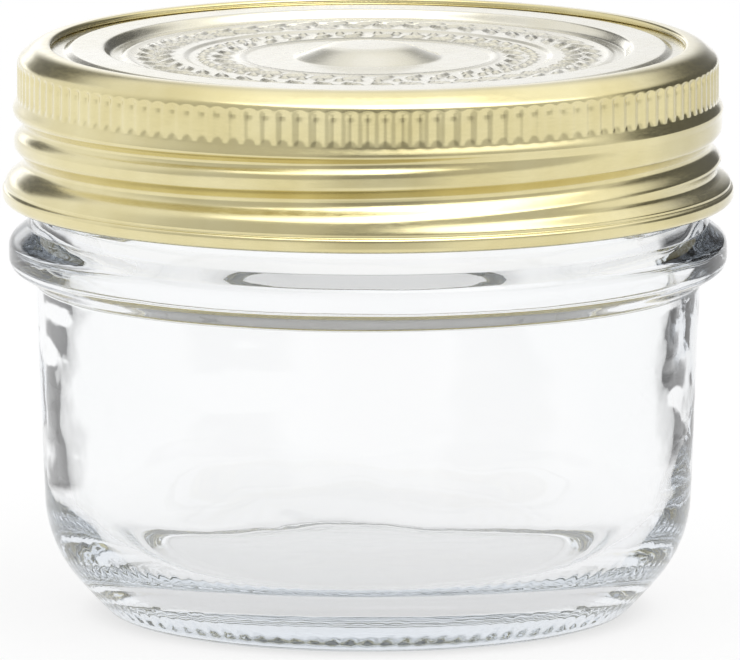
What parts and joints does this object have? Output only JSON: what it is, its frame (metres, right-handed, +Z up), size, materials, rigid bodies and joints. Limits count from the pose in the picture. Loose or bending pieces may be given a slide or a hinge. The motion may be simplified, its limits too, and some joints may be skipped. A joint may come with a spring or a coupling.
{
  "type": "jelly jar",
  "caption": "Squat clear glass preserving jar, empty, closed by a flat sealing disc and a knurled screw band.",
  "frame": {"origin": "centre of the jar's base, on the plane that it stands on", "axes": "+Z up along the jar's axis, -Y towards the side shown in front, +X to the right of it"},
  "size_m": [0.0928, 0.0928, 0.0726],
  "materials": {
    "clear_glass": "clear pressed glass, polished",
    "disc_metal": "pale gold lacquered tinplate, satin",
    "band_metal": "pale gold lacquered tinplate, satin"
  },
  "bodies": {
    "root": {"glass_jar": "clear_glass", "sealing_disc": "disc_metal", "screw_band": "band_metal"}
  },
  "joints": []
}
